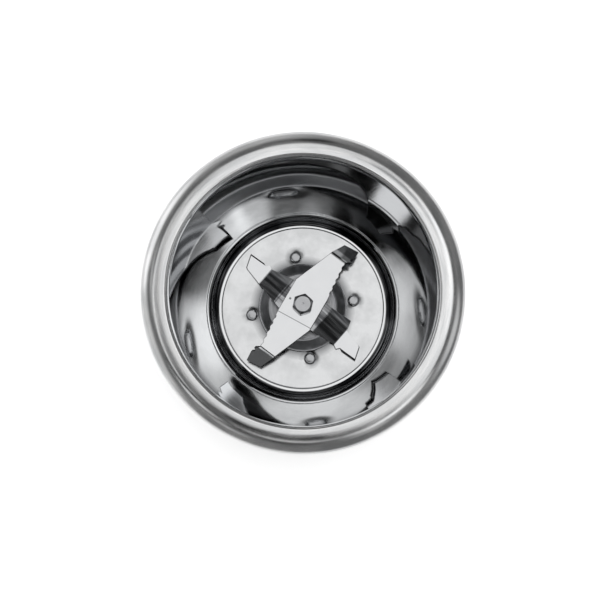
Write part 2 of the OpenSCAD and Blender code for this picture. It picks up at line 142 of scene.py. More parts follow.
def drawn_line(name, points):
    """A line drawn through points in millimetres, one edge extrusion after another."""
    deselect()
    bpy.ops.mesh.primitive_plane_add(size=MM)
    obj = bpy.context.object
    obj.name = name
    bpy.ops.object.mode_set(mode="EDIT")
    bpy.ops.mesh.select_all(action="SELECT")
    bpy.ops.mesh.merge(type="CENTER")
    start = Vector((0, 0, 0))
    here = start
    for i, point in enumerate(points):
        there = Vector(point) * MM
        if i == 0:
            bpy.ops.transform.translate(value=there)
        else:
            bpy.ops.mesh.extrude_vertices_move(TRANSFORM_OT_translate={"value": there - here})
        here = there
    return obj


def lathe(name, section, steps=256):
    """A closed section in millimetres (radius, height), spun around the jar's axis."""
    ring = [(r, 0, z) for r, z in section]
    obj = drawn_line(name, ring + ring[:1])
    bpy.ops.mesh.select_all(action="SELECT")
    bpy.ops.mesh.remove_doubles(threshold=0.002 * MM)
    bpy.ops.mesh.spin(steps=steps, angle=2 * pi, center=(0, 0, 0), axis=(0, 0, 1))
    bpy.ops.mesh.select_all(action="SELECT")
    bpy.ops.mesh.remove_doubles(threshold=0.002 * MM)
    bpy.ops.mesh.normals_make_consistent(inside=False)
    bpy.ops.object.mode_set(mode="OBJECT")
    return obj


def arc(centre, radius, start, end, steps):
    """Points on a circle from one angle to another, in degrees."""
    return [
        (centre[0] + radius * cos(radians(start + (end - start) * i / steps)),
         centre[1] + radius * sin(radians(start + (end - start) * i / steps)))
        for i in range(steps + 1)
    ]


def line(a, b, *stops):
    """Points from a to b with extra ones between, given as shares of the way."""
    return [(a[0] + (b[0] - a[0]) * t, a[1] + (b[1] - a[1]) * t) for t in (0, *stops, 1)]


def paint(obj, materials, choose=None):
    """Give an object its materials, and each face the one that choose names."""
    obj.data.materials.clear()
    for material in materials:
        obj.data.materials.append(material)
    if choose:
        for face in obj.data.polygons:
            face.material_index = choose(face)


def put(obj, body, slot, *nodes):
    """Say what a finished piece rides on and the nodes it stands for, by hiding them. The record
    slot it is given is not used.
    """
    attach(obj, body)
    if nodes:
        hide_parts(*nodes)


def clean_copy(node, name, bevel=0.0, segments=2):
    """The node's own shape as one smooth mesh, with its sharp edges broken a little."""
    source = bpy.data.objects[node]
    obj = bpy.data.objects.new(name, source.data.copy())
    bpy.context.collection.objects.link(obj)
    edit(obj)
    bpy.ops.mesh.remove_doubles(threshold=0.004 * MM)
    bpy.ops.mesh.dissolve_limited(angle_limit=radians(0.6))
    bpy.ops.mesh.normals_make_consistent(inside=False)
    bpy.ops.object.mode_set(mode="OBJECT")
    if bevel:
        apply_modifier(obj, "BEVEL", width=bevel * MM, segments=segments, limit_method="ANGLE",
                       angle_limit=radians(40), harden_normals=False)
    true_flats(obj)
    return obj


# ---------------------------------------------------------------- helpers: shaders

def colour(text):
    """An sRGB hex colour as Blender's linear RGBA."""
    def linear(v):
        return v / 12.92 if v <= 0.04045 else ((v + 0.055) / 1.055) ** 2.4
    return (*[linear(int(text[i:i + 2], 16) / 255) for i in (1, 3, 5)], 1.0)


def add_node(tree, kind, inputs=None, **settings):
    """One shader node: settings are its own, inputs are constants or sockets to link."""
    node = tree.nodes.new(kind)
    for key, value in settings.items():
        setattr(node, key, value)
    for key, value in (inputs or {}).items():
        if isinstance(value, bpy.types.NodeSocket):
            tree.links.new(value, node.inputs[key])
        else:
            node.inputs[key].default_value = value
    return node


def new_material(name):
    material = bpy.data.materials.new(name)
    material.use_nodes = True
    tree = material.node_tree
    tree.nodes.clear()
    return material, tree


def finish_material(tree, shader):
    add_node(tree, "ShaderNodeOutputMaterial", {"Surface": shader})


def place(tree):
    return add_node(tree, "ShaderNodeTexCoord").outputs["Object"]


def noise(tree, where, scale, detail=2.0, roughness=0.5, distortion=0.0):
    return add_node(tree, "ShaderNodeTexNoise", {
        "Vector": where, "Scale": scale, "Detail": detail, "Roughness": roughness,
        "Distortion": distortion}).outputs[0]


def remap(tree, value, low, high, to_low, to_high):
    return add_node(tree, "ShaderNodeMapRange", {
        "Value": value, "From Min": low, "From Max": high, "To Min": to_low,
        "To Max": to_high}).outputs[0]


def math(tree, operation, a, b=0.0):
    return add_node(tree, "ShaderNodeMath", {0: a, 1: b}, operation=operation).outputs[0]


def mix_colour(tree, share, a, b):
    return add_node(tree, "ShaderNodeMix", {0: share, 6: a, 7: b},
                    data_type="RGBA").outputs[2]


def stretched(tree, where, x, y, z, turn=0.0):
    """Coordinates in metres, turned about the jar's axis and scaled apart on each axis."""
    turned = add_node(tree, "ShaderNodeMapping", {
        "Vector": where, "Rotation": (0, 0, radians(-turn))}).outputs[0]
    return add_node(tree, "ShaderNodeMapping", {
        "Vector": turned, "Scale": (x, y, z)}).outputs[0]


def turned_lines(tree, where, across, around):
    """Coordinates for lines that run around the jar's axis, as turning or spinning leaves."""
    flat = add_node(tree, "ShaderNodeVectorMath", {0: where, 1: (1, 1, 0)},
                    operation="MULTIPLY").outputs[0]
    radius = add_node(tree, "ShaderNodeVectorMath", {0: flat}, operation="LENGTH").outputs["Value"]
    height = add_node(tree, "ShaderNodeSeparateXYZ", {0: where}).outputs["Z"]
    unit = add_node(tree, "ShaderNodeVectorMath", {0: flat}, operation="NORMALIZE").outputs[0]
    near = add_node(tree, "ShaderNodeVectorMath", {0: unit, "Scale": around},
                    operation="SCALE").outputs[0]
    path = math(tree, "MULTIPLY", math(tree, "ADD", radius, height), across)
    lift = add_node(tree, "ShaderNodeCombineXYZ", {"Z": path}).outputs[0]
    return add_node(tree, "ShaderNodeVectorMath", {0: near, 1: lift}, operation="ADD").outputs[0]


def bump(tree, height, strength, depth, normal=None):
    inputs = {"Height": height, "Strength": strength, "Distance": depth * MM}
    if normal:
        inputs["Normal"] = normal
    return add_node(tree, "ShaderNodeBump", inputs).outputs[0]


def metal(tree, base, roughness, normal=None, anisotropic=0.0, tangent=None):
    inputs = {"Base Color": base, "Metallic": 1.0, "Roughness": roughness,
              "Anisotropic": anisotropic}
    if normal:
        inputs["Normal"] = normal
    if tangent:
        inputs["Tangent"] = tangent
    return add_node(tree, "ShaderNodeBsdfPrincipled", inputs).outputs[0]


def solid(tree, base, roughness, normal, **extra):
    inputs = {"Base Color": base, "Roughness": roughness, "Normal": normal}
    inputs.update(extra)
    return add_node(tree, "ShaderNodeBsdfPrincipled", inputs).outputs[0]


# ---------------------------------------------------------------- materials

def mirror_polished_steel():
    """Bowl wall: buffed on a wheel while it spins, so a mirror with faint rings and haze."""
    material, tree = new_material("mirror_polished_steel")
    where = place(tree)
    rings = noise(tree, turned_lines(tree, where, 900, 1.6), 1.0, 4, 0.6)
    haze = noise(tree, turned_lines(tree, where, 120, 2.2), 1.0, 3, 0.5)
    waves = noise(tree, where, 28, 1, 0.4)
    normal = bump(tree, rings, 0.10, 0.02)
    normal = bump(tree, waves, 0.25, 0.35, normal)
    rough = remap(tree, haze, 0.3, 0.7, 0.02, 0.06)
    finish_material(tree, metal(tree, colour("#E6E7E8"), rough, normal))
    return material


def satin_floor_steel():
    """Bowl floor: left satin by the press, with scuffs from scouring pads every way, and painted
    shade: darker around the rivets and at the boss's foot.
    """
    material, tree = new_material("satin_floor_steel")
    where = place(tree)
    grain = noise(tree, where, 1600, 3, 0.6)
    scuffs = noise(tree, stretched(tree, where, 2600, 120, 300, 34), 1.0, 2, 0.5)
    clouds = noise(tree, where, 90, 3, 0.55)
    normal = bump(tree, grain, 0.12, 0.02)
    normal = bump(tree, scuffs, 0.10, 0.02, normal)
    rough = remap(tree, clouds, 0.3, 0.7, 0.10, 0.16)
    tint = mix_colour(tree, remap(tree, clouds, 0.35, 0.65, 0, 1), colour("#CFD0D1"),
                      colour("#E3E4E5"))
    # Painted shade: a blotchy darker grey ring around each rivet.
    rivet_shade_noise = noise(tree, where, 130, 2, 0.5)
    near = remap(tree, from_rivet(tree, where), 3.0 * MM, 6.2 * MM, 1.0, 0.0)
    tint = mix_colour(tree, math(tree, "MULTIPLY", near, remap(tree, rivet_shade_noise, 0.42, 0.6, 0, 0.8)),
                      tint, colour("#77787A"))
    # Painted shade: the floor darkens towards the foot of the boss.
    foot = remap(tree, from_axis(tree, where), BOSS_FOOT_R * MM, (BOSS_FOOT_R + 4.5) * MM, 0.85, 0.0)
    tint = mix_colour(tree, foot, tint, colour("#707173"))
    finish_material(tree, metal(tree, tint, rough, normal))
    return material


def from_axis(tree, where):
    """Distance from the jar's axis."""
    flat = add_node(tree, "ShaderNodeVectorMath", {0: where, 1: (1, 1, 0)},
                    operation="MULTIPLY").outputs[0]
    return add_node(tree, "ShaderNodeVectorMath", {0: flat}, operation="LENGTH").outputs["Value"]


def from_rivet(tree, where):
    """Distance from the nearest of the four rivets."""
    turned = add_node(tree, "ShaderNodeMapping", {
        "Vector": where, "Rotation": (0, 0, radians(-RIVET_AZ))}).outputs[0]
    apart = add_node(tree, "ShaderNodeSeparateXYZ", {0: turned})
    x, y = (math(tree, "ABSOLUTE", apart.outputs[axis]) for axis in "XY")
    out = math(tree, "SUBTRACT", math(tree, "MAXIMUM", x, y), RIVET_CIRCLE * MM)
    side = math(tree, "MINIMUM", x, y)
    return math(tree, "SQRT", math(tree, "ADD", math(tree, "MULTIPLY", out, out),
                                   math(tree, "MULTIPLY", side, side)))


def spun_boss_steel():
    """Boss: formed against a spinning roller, which leaves wide rings of lighter and darker grey up
    its slope; the whole tint is painted darker than the floor's, as the shade and reflection of the
    blades above it.
    """
    material, tree = new_material("spun_boss_steel")
    where = place(tree)
    rings = noise(tree, turned_lines(tree, where, 700, 1.2), 1.0, 3, 0.6)
    fine = noise(tree, turned_lines(tree, where, 4200, 3), 1.0, 2, 0.5)
    normal = bump(tree, rings, 0.5, 0.06)
    normal = bump(tree, fine, 0.2, 0.02, normal)
    rough = remap(tree, rings, 0.3, 0.7, 0.28, 0.42)
    # Painted shade: the boss's grey is held darker than the floor's, with the rings' random tone on
    # top.
    tint = mix_colour(tree, remap(tree, rings, 0.35, 0.65, 0, 1), colour("#96979A"),
                      colour("#CDCED0"))
    finish_material(tree, metal(tree, tint, rough, normal))
    return material


def painted_shade_corner_steel():
    """Floor's corner: painted near black as the shade in the concave corner, mottled, over faint
    rings from the drawing.
    """
    material, tree = new_material("painted_shade_corner_steel")
    where = place(tree)
    rings = noise(tree, turned_lines(tree, where, 1500, 1.5), 1.0, 3, 0.6)
    corner_shade_mottle = noise(tree, where, 45, 2, 0.5)
    normal = bump(tree, rings, 0.2, 0.02)
    # Painted shade: the corner's tint runs from near black to dark grey.
    tint = mix_colour(tree, remap(tree, corner_shade_mottle, 0.4, 0.62, 0, 1), colour("#2C2D2F"),
                      colour("#7C7D7F"))
    finish_material(tree, metal(tree, tint, remap(tree, rings, 0.3, 0.7, 0.08, 0.16), normal))
    return material


def brushed_rim_steel():
    """Rim: brushed around with an abrasive band, so light spreads across the lines."""
    material, tree = new_material("brushed_rim_steel")
    where = place(tree)
    lines = noise(tree, turned_lines(tree, where, 3600, 5), 1.0, 3, 0.6)
    broad = noise(tree, turned_lines(tree, where, 500, 3), 1.0, 2, 0.5)
    normal = bump(tree, lines, 0.25, 0.02)
    rough = remap(tree, broad, 0.3, 0.7, 0.16, 0.26)
    tangent = add_node(tree, "ShaderNodeTangent", direction_type="RADIAL", axis="Z").outputs[0]
    tint = mix_colour(tree, remap(tree, broad, 0.35, 0.65, 0, 1), colour("#DCDDDE"),
                      colour("#FAFAFA"))
    finish_material(tree, metal(tree, tint, rough, normal, 0.35, tangent))
    return material


def brushed_outside_steel():
    """Bowl outside: belt brushed around, coarser and duller than the inside."""
    material, tree = new_material("brushed_outside_steel")
    where = place(tree)
    lines = noise(tree, turned_lines(tree, where, 2400, 3), 1.0, 4, 0.65)
    broad = noise(tree, turned_lines(tree, where, 200, 2), 1.0, 2, 0.5)
    normal = bump(tree, lines, 0.35, 0.02)
    rough = remap(tree, broad, 0.3, 0.7, 0.24, 0.34)
    tangent = add_node(tree, "ShaderNodeTangent", direction_type="RADIAL", axis="Z").outputs[0]
    finish_material(tree, metal(tree, colour("#CFD0D2"), rough, normal, 0.5, tangent))
    return material


def scored_line(tree, where, turn, distance, width):
    """1 on a straight line across a blade, at a distance from the axis, else 0."""
    across = along_blade(tree, where, turn)
    off = math(tree, "ABSOLUTE", math(tree, "SUBTRACT", across, distance * MM))
    return remap(tree, off, width * MM * 0.5, width * MM, 1.0, 0.0)


def along_blade(tree, where, turn):
    """Distance along a blade from the axis, signed."""
    turned = add_node(tree, "ShaderNodeMapping", {
        "Vector": where, "Rotation": (0, 0, radians(-turn))}).outputs[0]
    return add_node(tree, "ShaderNodeSeparateXYZ", {0: turned}).outputs["X"]


def ground_blade_steel(turn, name, crease=None, arms=None):
    """Blades: stamped, then ground along their length and polished, so fine long scratches."""
    material, tree = new_material(name)
    where = place(tree)
    scratches = noise(tree, stretched(tree, where, 160, 3400, 900, turn), 1.0, 3, 0.6)
    crossed = noise(tree, stretched(tree, where, 2600, 140, 700, turn + 24), 1.0, 2, 0.5)
    clouds = noise(tree, where, 140, 3, 0.55)
    normal = bump(tree, scratches, 0.16, 0.02)
    normal = bump(tree, crossed, 0.07, 0.02, normal)
    rough = remap(tree, clouds, 0.3, 0.7, 0.07, 0.13)
    tint = mix_colour(tree, clouds, colour("#D6D7D9"), colour("#E4E5E6"))
    if crease:
        # Painted shade: a dark line along the wing's crease.
        line = scored_line(tree, where, turn + crease[0], crease[1], 0.3)
        tint = mix_colour(tree, math(tree, "MULTIPLY", line, 0.7), tint, colour("#5C5D5F"))
        dot = math(tree, "MULTIPLY", scored_line(tree, where, turn, -1.3, 0.75),
                   scored_line(tree, where, turn + 90, 7.4, 0.75))
        tint = mix_colour(tree, math(tree, "MULTIPLY", dot, 0.8), tint, colour("#4C4D4F"))
        # Painted reflection: the bent-down tip is painted dark from 34.2 mm out.
        tip_painted_dark = remap(tree, along_blade(tree, where, turn), 34.2 * MM, 35.2 * MM, 0.0, 0.8)
        tint = mix_colour(tree, tip_painted_dark, tint, colour("#4A4B4D"))
    if arms:
        # Painted reflection: the arms are painted darker grey, with streaks along them, as the dark
        # reflections they show; only the level tips keep the bright ground tint.
        out = math(tree, "ABSOLUTE", along_blade(tree, where, turn))
        arm_reflection_streaks = noise(tree, stretched(tree, where, 30, 330, 30, turn), 1.0, 2, 0.5)
        dark = mix_colour(tree, remap(tree, arm_reflection_streaks, 0.42, 0.58, 0, 1), colour("#57585A"),
                          colour("#B0B1B3"))
        tint = mix_colour(tree, remap(tree, out, arms * MM, (arms + 1) * MM, 1.0, 0.0), tint, dark)
    finish_material(tree, metal(tree, tint, rough, normal))
    return material


def sheared_edge_painted_dark():
    """Blades' edges: sheared by the punch and left so, dull with upright tears, and painted near
    black as the dark reflection and shade along the blades' outlines.
    """
    material, tree = new_material("sheared_edge_painted_dark")
    where = place(tree)
    tears = noise(tree, stretched(tree, where, 2600, 2600, 300), 1.0, 2, 0.6)
    normal = bump(tree, tears, 0.2, 0.02)
    # Painted shade: the edge faces' tint runs near black.
    tint = mix_colour(tree, remap(tree, tears, 0.4, 0.6, 0, 1), colour("#242527"),
                      colour("#4E4F51"))
    rough = remap(tree, tears, 0.3, 0.7, 0.3, 0.42)
    finish_material(tree, metal(tree, tint, rough, normal))
    return material


def turned_steel(name, base, rough_low, rough_high, depth=0.25):
    """Turned pieces: the lathe tool leaves close rings around the axis."""
    material, tree = new_material(name)
    where = place(tree)
    rings = noise(tree, turned_lines(tree, where, 4200, 2), 1.0, 2, 0.5)
    clouds = noise(tree, where, 200, 2, 0.5)
    normal = bump(tree, rings, depth, 0.02)
    rough = remap(tree, clouds, 0.3, 0.7, rough_low, rough_high)
    finish_material(tree, metal(tree, colour(base), rough, normal))
    return material


def plated_fastener_steel():
    """Bolt, rivets, washers: tumbled and plated, so soft edges and small pits."""
    material, tree = new_material("plated_fastener_steel")
    where = place(tree)
    pits = noise(tree, where, 1500, 3, 0.6)
    clouds = noise(tree, where, 260, 2, 0.5)
    normal = bump(tree, pits, 0.15, 0.02)
    rough = remap(tree, clouds, 0.3, 0.7, 0.10, 0.16)
    tint = mix_colour(tree, clouds, colour("#A6A7A9"), colour("#BCBDBF"))
    finish_material(tree, metal(tree, tint, rough, normal))
    return material


def moulded_abs():
    """Base: ABS from a spark eroded mould, an even fine grain with a low sheen."""
    material, tree = new_material("moulded_abs")
    where = place(tree)
    grain = noise(tree, where, 2400, 2, 0.6)
    flow = noise(tree, stretched(tree, where, 18, 18, 6), 1.0, 2, 0.5)
    normal = bump(tree, grain, 0.30, 0.05)
    rough = remap(tree, flow, 0.3, 0.7, 0.40, 0.52)
    tint = mix_colour(tree, flow, colour("#1C1D1F"), colour("#232427"))
    finish_material(tree, solid(tree, tint, rough, normal))
    return material


def moulded_nylon():
    """Coupler: nylon from a smooth mould, slightly waxy, scuffed where it drives."""
    material, tree = new_material("moulded_nylon")
    where = place(tree)
    wax = noise(tree, where, 320, 3, 0.5)
    scuffs = noise(tree, turned_lines(tree, where, 1500, 6), 1.0, 2, 0.6)
    normal = bump(tree, wax, 0.12, 0.05)
    rough = remap(tree, scuffs, 0.35, 0.65, 0.30, 0.46)
    finish_material(tree, solid(tree, colour("#131315"), rough, normal))
    return material


def acetal():
    """Thrust washers: natural acetal cut from sheet, milky with light inside."""
    material, tree = new_material("acetal")
    where = place(tree)
    grain = noise(tree, turned_lines(tree, where, 1800, 2), 1.0, 2, 0.5)
    normal = bump(tree, grain, 0.10, 0.02)
    rough = remap(tree, grain, 0.3, 0.7, 0.34, 0.42)
    finish_material(tree, solid(tree, colour("#E7E2D2"), rough, normal,
                                **{"Subsurface Weight": 0.2, "Subsurface Scale": 0.6 * MM}))
    return material


def nitrile_rubber():
    """Seals: moulded nitrile, matt black with bloom that greys it unevenly."""
    material, tree = new_material("nitrile_rubber")
    where = place(tree)
    bloom = noise(tree, where, 150, 4, 0.6)
    skin = noise(tree, where, 2200, 2, 0.5)
    normal = bump(tree, skin, 0.15, 0.03)
    tint = mix_colour(tree, remap(tree, bloom, 0.4, 0.7, 0, 1), colour("#141415"),
                      colour("#222223"))
    rough = remap(tree, bloom, 0.3, 0.7, 0.55, 0.72)
    finish_material(tree, solid(tree, tint, rough, normal))
    return material


def turned_brass():
    """Nut and insert: free cutting brass, bright from the tool with a thin tarnish."""
    material, tree = new_material("turned_brass")
    where = place(tree)
    rings = noise(tree, turned_lines(tree, where, 3800, 2), 1.0, 2, 0.5)
    tarnish = noise(tree, where, 220, 4, 0.6)
    normal = bump(tree, rings, 0.22, 0.02)
    tint = mix_colour(tree, remap(tree, tarnish, 0.4, 0.7, 0, 1), colour("#D9B66B"),
                      colour("#A9854A"))
    rough = remap(tree, tarnish, 0.3, 0.7, 0.22, 0.36)
    finish_material(tree, metal(tree, tint, rough, normal))
    return material


def sintered_bronze():
    """Bushes: pressed bronze powder full of oil, with open pores that show dark."""
    material, tree = new_material("sintered_bronze")
    where = place(tree)
    pores = add_node(tree, "ShaderNodeTexVoronoi", {"Vector": where, "Scale": 2600.0}).outputs[0]
    oil = noise(tree, where, 260, 2, 0.5)
    normal = bump(tree, pores, 0.35, 0.05)
    tint = mix_colour(tree, remap(tree, pores, 0.1, 0.5, 0, 1), colour("#5E4025"),
                      colour("#A9784A"))
    rough = remap(tree, oil, 0.3, 0.7, 0.30, 0.48)
    finish_material(tree, metal(tree, tint, rough, normal))
    return material


def wool_felt():
    """Oil felt: pressed wool, tangled fibres soaked to a yellow brown."""
    material, tree = new_material("wool_felt")
    where = place(tree)
    fibres = noise(tree, where, 1400, 5, 0.7, 1.5)
    clouds = noise(tree, where, 180, 2, 0.5)
    normal = bump(tree, fibres, 0.8, 0.15)
    tint = mix_colour(tree, clouds, colour("#B79B62"), colour("#CDB885"))
    finish_material(tree, solid(tree, tint, 0.9, normal, **{"Sheen Weight": 0.3}))
    return material


# ---------------------------------------------------------------- bowl

def rivet_places():
    for i in range(RIVETS):
        az = radians(RIVET_AZ + i * 360 / RIVETS)
        yield RIVET_CIRCLE * cos(az), RIVET_CIRCLE * sin(az)


def bowl_section():
    """The bowl's sheet in section: inside from the boss up to the rim, then back outside."""
    corner = (FLOOR_R, FLOOR_Z - FLOOR_STEP + CORNER_R)
    foot = (BOSS_FOOT_R, FLOOR_Z + BOSS_FILLET)
    boss_top = FLOOR_Z + BOSS_H
    shoulder = (BOSS_TOP_R, boss_top - BOSS_SHOULDER)
    rise = (foot[0] - shoulder[0], foot[1] - shoulder[1])
    slope = degrees(acos((BOSS_FILLET + BOSS_SHOULDER) / hypot(*rise)) + atan2(rise[1], rise[0]))
    bead = (MOUTH_R + BEAD_R, LIP_Z)
    rim_top = LIP_Z + BEAD_R
    crown = RIM_CROWN * (1 - cos(RIM_CROWN_TURN))
    land = (bead[0] + FLAT_W, rim_top - crown + LAND_R * (1 - cos(RIM_CROWN_TURN)) - LAND_R)
    land_end = 90 - LAND_FALL
    curl = (land[0] + (LAND_R - CURL_R) * cos(radians(land_end)),
            land[1] + (LAND_R - CURL_R) * sin(radians(land_end)))
    near = 0.3  # how far from a bend the ring stands that keeps the flat beside it flat
    wall_foot = (corner[0] + CORNER_R * cos(radians(FOOT_LEAN)),
                 corner[1] - CORNER_R * sin(radians(FOOT_LEAN)))
    wall_h = LIP_Z - MOUTH_H - wall_foot[1]
    lead = wall_h * tan(radians(FOOT_LEAN))
    flare = MOUTH_R - wall_foot[0] - lead

    def wall(grow, steps):
        points = []
        for i in range(steps + 1):
            share = i / steps
            lean = atan((lead + 2 * flare * share) / wall_h)
            points.append((wall_foot[0] + lead * share + flare * share ** 2 + grow * cos(lean),
                           wall_foot[1] + wall_h * share - grow * sin(lean)))
        return points

    start = BOSS_FOOT_R + near
    edge = FLOOR_R - 2 * FLOOR_STEP
    turn = 0.4
    back = turn * tan(radians(22.5))
    rings = int(edge - start)
    inside = [(HOUSING_HOLE_R, boss_top), (BOSS_TOP_R - near, boss_top)]
    inside += arc(shoulder, BOSS_SHOULDER, 90, slope, 14)
    inside += arc(foot, BOSS_FILLET, slope + 180, 270, 14)
    inside += [(start + (edge - back - near - start) * i / rings, FLOOR_Z)
               for i in range(rings + 1)]
    inside += arc((edge - back, FLOOR_Z - turn), turn, 90, 45, 4)
    inside += arc((edge + FLOOR_STEP + back, FLOOR_Z - FLOOR_STEP + turn), turn, 225, 270, 4)
    inside += arc(corner, CORNER_R, 270, 360 - FOOT_LEAN, 24)
    inside += wall(0, 26)[1:]
    inside += [(MOUTH_R, LIP_Z - MOUTH_H + near), (MOUTH_R, LIP_Z - near)]
    inside += arc(bead, BEAD_R, 180, 90, 14)
    crown_end = land[0] + LAND_R * sin(RIM_CROWN_TURN)
    crown_start = crown_end - RIM_CROWN * sin(RIM_CROWN_TURN)
    inside += [(bead[0] + near, rim_top), (crown_start - 0.1, rim_top)]
    inside += arc((crown_start, rim_top - RIM_CROWN), RIM_CROWN, 90,
                  90 - degrees(RIM_CROWN_TURN), 8)
    inside += arc(land, LAND_R, 90 - degrees(RIM_CROWN_TURN), land_end, 20)[1:]
    inside += arc(curl, CURL_R, land_end, CURL_END - 360, 44)[1:]
    outside = arc(curl, CURL_R - SHEET, CURL_END - 360, land_end, 32)
    outside += arc(land, LAND_R - SHEET, land_end, 90, 14)[1:]
    outside += arc(bead, BEAD_R - SHEET, 90, 180, 6)
    outside += wall(SHEET, 20)[::-1]
    outside += arc(corner, CORNER_R + SHEET, 360 - FOOT_LEAN, 270, 16)
    outside += [(edge + FLOOR_STEP, FLOOR_UNDER - FLOOR_STEP), (edge, FLOOR_UNDER),
                (start, FLOOR_UNDER)]
    outside += arc(foot, BOSS_FILLET + SHEET, 270, slope + 180, 12)
    outside += arc(shoulder, BOSS_SHOULDER - SHEET, slope, 90, 8)
    outside += [(HOUSING_HOLE_R, boss_top - SHEET)]
    return inside + outside


def make_bowl(mirror, satin, rim, outer, boss, corner):
    obj = lathe("bowl_sheet", bowl_section())
    # The rivets pull the floor down a little where they are upset
    for vertex in obj.data.vertices:
        x, y, z = (v / MM for v in vertex.co)
        if abs(z - FLOOR_Z) < 0.05 or abs(z - FLOOR_UNDER) < 0.05:
            for rx, ry in rivet_places():
                away = hypot(x - rx, y - ry) / DIMPLE_R
                if away < 1:
                    vertex.co.z -= DIMPLE * MM * (1 - away) ** 2
    smooth(obj)

    def choose(face):
        x, y, z = (v / MM for v in face.center)
        r = hypot(x, y)
        outward = (face.normal.x * x + face.normal.y * y) / max(r, 1)
        if z > LIP_Z - 0.05 or r > MOUTH_R + SHEET + 0.3:
            return 2
        if r < BOSS_FOOT_R - 0.5 and face.normal.z > 0.05:
            return 4
        if r < FLOOR_R - FLOOR_STEP and face.normal.z > 0.05:
            return 1
        if z < FLOOR_Z + 0.72 * CORNER_R and FLOOR_R + 0.8 < r and face.normal.z > 0:
            return 5
        return 0 if outward < 0 or face.normal.z > 0.05 else 3

    paint(obj, [mirror, satin, rim, outer, boss, corner], choose)
    put(obj, "jar", "bowl_steel", "jar_body")
    return obj


DIMPLE = 0.8
DIMPLE_R = 6.5


# ---------------------------------------------------------------- rivets and bolt

def make_rivets(material):
    """Four rivets: turned heads, shanks through the web and tails upset below."""
    tail = WEB_Z - RIVET_WASHER_T
    top = FLOOR_Z + RIVET_HEAD_H
    flat = 2.1
    edge = top - 0.52
    section = [(0, top), (flat - 0.15, top), (flat + 0.05, top - 0.03),
               (RIVET_HEAD_R - 0.1, edge + 0.05), (RIVET_HEAD_R, edge - 0.08),
               (RIVET_HEAD_R, FLOOR_Z - 0.1), (RIVET_SHANK_R, FLOOR_Z - 0.1)]
    section += [(RIVET_SHANK_R, tail), (RIVET_SHANK_R * 1.7, tail - RIVET_SHANK_R + 0.3),
                (RIVET_SHANK_R * 1.6, tail - RIVET_SHANK_R), (0, tail - RIVET_SHANK_R)]
    first = lathe("rivet", section, 48)
    smooth(first)
    copies = []
    for x, y in rivet_places():
        copy = first.copy()
        copy.data = first.data.copy()
        copy.data.transform(Matrix.Translation((x * MM, y * MM, -0.15 * MM)))
        bpy.context.collection.objects.link(copy)
        copies.append(copy)
    bpy.data.objects.remove(first)
    deselect()
    for copy in copies:
        copy.select_set(True)
    bpy.context.view_layer.objects.active = copies[0]
    bpy.ops.object.join()
    obj = bpy.context.object
    obj.name = "rivet_set"
    paint(obj, [material])
    put(obj, "jar", "fastener_steel", "rivets")
    return obj


def make_bolt(material):
    """The hexagon bolt: six flats, corners turned down to a washer face on top."""
    sides = 96
    top = UPPER_TOP + BOLT_H
    flat_r = 0.4 * BOLT_AF
    fall = 0.47 / 0.52
    deselect()
    bpy.ops.mesh.primitive_cylinder_add(vertices=sides, radius=MM, depth=BOLT_H * MM,
                                        location=(0, 0, 0), end_fill_type="NOTHING")
    obj = bpy.context.object
    obj.name = "hexagon_bolt"
    mesh = obj.data
    for vertex in mesh.vertices:
        az = atan2(vertex.co.y, vertex.co.x)
        turn = (degrees(az) - BOLT_AZ) % 60 - 30
        reach = min(BOLT_AF / 2 / cos(radians(turn)), BOLT_AF / 2 / cos(radians(30)) - 0.12)
        z = top - (reach - flat_r) * fall if vertex.co.z > 0 else UPPER_TOP
        vertex.co = Vector((reach * cos(az), reach * sin(az), z)) * MM
    edit(obj)
    bpy.ops.mesh.select_all(action="DESELECT")
    bpy.ops.mesh.select_mode(type="EDGE")
    bpy.ops.object.mode_set(mode="OBJECT")
    limit = (UPPER_TOP + 1) * MM
    for edge in mesh.edges:
        edge.select = all(mesh.vertices[v].co.z > limit for v in edge.vertices)
    bpy.ops.object.mode_set(mode="EDIT")
    for radius, level in ((flat_r, top), (flat_r - 0.3, top), (0.8, top), (0.45, top - 0.04),
                          (0.05, top - 0.07)):
        bpy.ops.mesh.extrude_edges_move()
        bpy.ops.object.mode_set(mode="OBJECT")
        for vertex in mesh.vertices:
            if vertex.select:
                az = atan2(vertex.co.y, vertex.co.x)
                vertex.co = Vector((radius * cos(az), radius * sin(az), level)) * MM
        bpy.ops.object.mode_set(mode="EDIT")
    bpy.ops.mesh.edge_face_add()
    bpy.ops.mesh.select_all(action="DESELECT")
    bpy.ops.object.mode_set(mode="OBJECT")
    for edge in mesh.edges:
        edge.select = all(abs(mesh.vertices[v].co.z - UPPER_TOP * MM) < 1e-6
                          for v in edge.vertices)
    bpy.ops.object.mode_set(mode="EDIT")
    for radius, level in ((BOLT_R, UPPER_TOP), (BOLT_R, UPPER_TOP - BOLT_DEPTH)):
        bpy.ops.mesh.extrude_edges_move()
        bpy.ops.object.mode_set(mode="OBJECT")
        for vertex in mesh.vertices:
            if vertex.select:
                az = atan2(vertex.co.y, vertex.co.x)
                vertex.co = Vector((radius * cos(az), radius * sin(az), level)) * MM
        bpy.ops.object.mode_set(mode="EDIT")
    bpy.ops.mesh.edge_face_add()
    bpy.ops.mesh.select_mode(type="VERT")
    bpy.ops.mesh.select_all(action="SELECT")
    bpy.ops.mesh.normals_make_consistent(inside=False)
    bpy.ops.object.mode_set(mode="OBJECT")
    smooth(obj)
    paint(obj, [material])
    put(obj, "rotor", "fastener_steel", "blade_bolt")
    return obj


# ---------------------------------------------------------------- blades

def take(turn):
    return BEND_R * tan(radians(abs(turn)) / 2)


